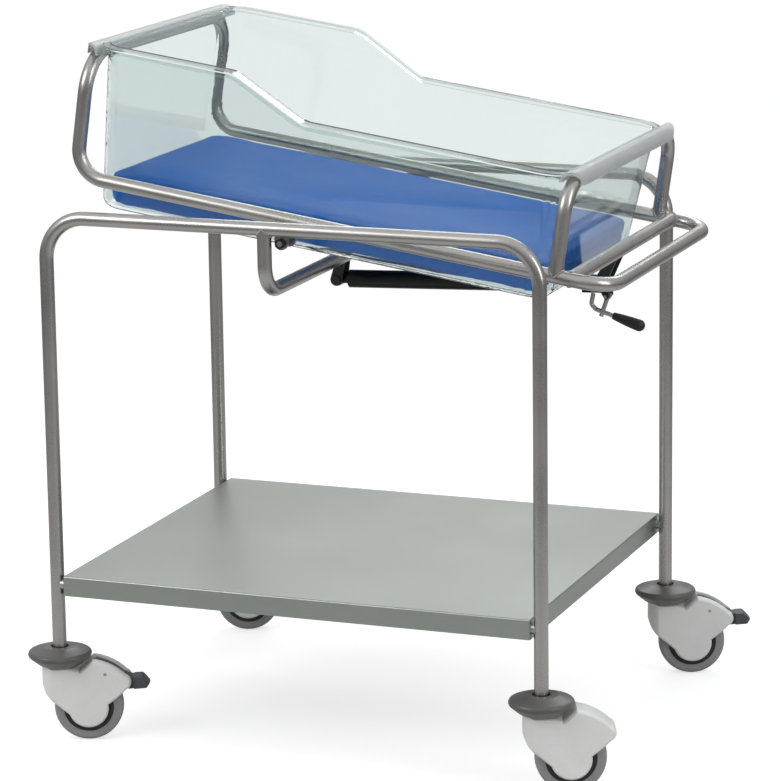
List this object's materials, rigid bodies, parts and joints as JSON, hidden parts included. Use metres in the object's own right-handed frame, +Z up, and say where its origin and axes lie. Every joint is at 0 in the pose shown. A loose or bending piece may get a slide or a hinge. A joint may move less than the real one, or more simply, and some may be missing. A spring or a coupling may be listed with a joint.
{
  "type": "hospital bassinet",
  "caption": "Hospital bassinet: a bent-tube trolley on swivel castors holds a tilting cradle with a clear tub, a mattress and a gas spring.",
  "frame": {"origin": "on the floor under the middle of the whole bassinet", "axes": "+Z up, +X towards the foot end with the push handle, +Y towards the far side"},
  "size_m": [0.8973, 0.6898, 1.0028],
  "materials": {
    "stainless_tube": "satin",
    "stainless_sheet": "satin",
    "stainless_fittings": "satin",
    "bracket_black": "semi-gloss",
    "dark_nuts": "satin",
    "bush_plastic": "matte",
    "clear_plastic": "clear gloss",
    "mattress_cover": "smooth coated",
    "spring_black_paint": "semi-gloss",
    "polished_rod": "polished",
    "lever_steel": "satin",
    "grip_rubber": "matte",
    "castor_steel": "satin",
    "disc_grey": "satin",
    "casing_plastic": "satin",
    "hub_plastic": "satin",
    "tyre_grey": "matte",
    "pedal_plastic": "satin"
  },
  "bodies": {
    "trolley": {"near_side_frame": "stainless_tube", "far_side_frame": "stainless_tube", "drop_crossmember": "stainless_tube", "shelf_tray": "stainless_sheet", "shelf_spacers": "stainless_fittings", "shelf_bolts": "stainless_fittings", "near_trolley_lug": "stainless_fittings", "far_trolley_lug": "stainless_fittings", "pivot_bushes": "bush_plastic", "pivot_bolts": "stainless_fittings", "pivot_nuts": "dark_nuts", "gas_spring_bracket": "bracket_black", "gas_spring_pin": "bracket_black", "castor_stems": "castor_steel", "near_head_bumper_disc": "disc_grey", "near_foot_bumper_disc": "disc_grey", "far_head_bumper_disc": "disc_grey", "far_foot_bumper_disc": "disc_grey"},
    "cradle": {"cradle_frame": "stainless_tube", "handle_bar": "stainless_tube", "foot_hoop": "stainless_tube", "cross_tube": "stainless_tube", "near_cradle_lug": "stainless_fittings", "far_cradle_lug": "stainless_fittings", "cradle_bracket": "bracket_black", "release_head_pin": "bracket_black"},
    "basin": {"basin": "clear_plastic"},
    "mattress": {"mattress": "mattress_cover"},
    "spring_rod": {"gas_spring_rod": "polished_rod", "release_head": "spring_black_paint", "release_lever_pin": "polished_rod"},
    "spring_cylinder": {"gas_spring_cylinder": "spring_black_paint", "gas_spring_eye": "spring_black_paint", "gas_spring_gland": "spring_black_paint"},
    "release_lever": {"release_lever": "lever_steel", "lever_grip": "grip_rubber"},
    "near_head_castor": {"near_head_casing_right": "casing_plastic", "near_head_casing_left": "casing_plastic", "near_head_axle": "castor_steel", "near_head_brake_pin": "castor_steel"},
    "near_head_wheel": {"near_head_wheel_hub": "hub_plastic", "near_head_tyre": "tyre_grey"},
    "near_head_pedal": {"near_head_brake_pedal": "pedal_plastic"},
    "near_foot_castor": {"near_foot_casing_right": "casing_plastic", "near_foot_casing_left": "casing_plastic", "near_foot_axle": "castor_steel"},
    "near_foot_wheel": {"near_foot_wheel_hub": "hub_plastic", "near_foot_tyre": "tyre_grey"},
    "far_head_castor": {"far_head_casing_right": "casing_plastic", "far_head_casing_left": "casing_plastic", "far_head_axle": "castor_steel"},
    "far_head_wheel": {"far_head_wheel_hub": "hub_plastic", "far_head_tyre": "tyre_grey"},
    "far_foot_castor": {"far_foot_casing_right": "casing_plastic", "far_foot_casing_left": "casing_plastic", "far_foot_axle": "castor_steel", "far_foot_brake_pin": "castor_steel"},
    "far_foot_wheel": {"far_foot_wheel_hub": "hub_plastic", "far_foot_tyre": "tyre_grey"},
    "far_foot_pedal": {"far_foot_brake_pedal": "pedal_plastic"}
  },
  "joints": [
    {"name": "cradle_tilt", "type": "hinge", "parent": "trolley", "child": "cradle", "pos_m": [-0.04984, -0.00663, 0.743], "axis": [0, 1, 0], "range_deg": [-20.4, 3.6]},
    {"name": "basin_lift", "type": "slide", "parent": "cradle", "child": "basin", "axis": [0.1461, 0, 0.9893], "range_m": [0, 0.25]},
    {"name": "mattress_lift", "type": "slide", "parent": "basin", "child": "mattress", "axis": [0.1461, 0, 0.9893], "range_m": [0, 0.2]},
    {"name": "spring_head_pivot", "type": "hinge", "parent": "cradle", "child": "spring_rod", "pos_m": [0.32018, -0.00663, 0.655], "axis": [0, 1, 0], "range_deg": [-0.42, 2.27]},
    {"name": "spring_stroke", "type": "slide", "parent": "spring_rod", "child": "spring_cylinder", "axis": [0.9993, 0, 0.0377], "range_m": [-0.0345, 0.0062]},
    {"name": "release_squeeze", "type": "hinge", "parent": "spring_rod", "child": "release_lever", "pos_m": [0.32881, -0.00663, 0.63832], "axis": [0, -1, 0], "range_deg": [0, 12], "stiffness_Nm_per_rad": 1.5, "springref_deg": -5.73},
    {"name": "near_head_swivel", "type": "hinge", "parent": "trolley", "child": "near_head_castor", "pos_m": [-0.40284, -0.29913, 0.11], "axis": [0, 0, 1], "continuous": true},
    {"name": "near_head_roll", "type": "hinge", "parent": "near_head_castor", "child": "near_head_wheel", "pos_m": [-0.36593, -0.28422, 0.05], "axis": [-0.3746, 0.9272, 0], "continuous": true},
    {"name": "near_head_brake", "type": "hinge", "parent": "near_head_castor", "child": "near_head_pedal", "pos_m": [-0.34257, -0.27478, 0.1005], "axis": [-0.3746, 0.9272, 0], "range_deg": [0, 8]},
    {"name": "near_foot_swivel", "type": "hinge", "parent": "trolley", "child": "near_foot_castor", "pos_m": [0.32716, -0.29913, 0.11], "axis": [0, 0, 1], "continuous": true},
    {"name": "near_foot_roll", "type": "hinge", "parent": "near_foot_castor", "child": "near_foot_wheel", "pos_m": [0.36407, -0.28422, 0.05], "axis": [-0.3746, 0.9272, 0], "continuous": true},
    {"name": "far_head_swivel", "type": "hinge", "parent": "trolley", "child": "far_head_castor", "pos_m": [-0.40284, 0.28587, 0.11], "axis": [0, 0, 1], "continuous": true},
    {"name": "far_head_roll", "type": "hinge", "parent": "far_head_castor", "child": "far_head_wheel", "pos_m": [-0.36593, 0.30078, 0.05], "axis": [-0.3746, 0.9272, 0], "continuous": true},
    {"name": "far_foot_swivel", "type": "hinge", "parent": "trolley", "child": "far_foot_castor", "pos_m": [0.32716, 0.28587, 0.11], "axis": [0, 0, 1], "continuous": true},
    {"name": "far_foot_roll", "type": "hinge", "parent": "far_foot_castor", "child": "far_foot_wheel", "pos_m": [0.36407, 0.30078, 0.05], "axis": [-0.3746, 0.9272, 0], "continuous": true},
    {"name": "far_foot_brake", "type": "hinge", "parent": "far_foot_castor", "child": "far_foot_pedal", "pos_m": [0.38743, 0.31022, 0.1005], "axis": [-0.3746, 0.9272, 0], "range_deg": [0, 8]}
  ],
  "couplings": [
    {"joint": "spring_head_pivot", "follows": "cradle_tilt", "ratio": -0.11},
    {"joint": "spring_stroke", "follows": "cradle_tilt", "m_per_rad": 0.096}
  ]
}
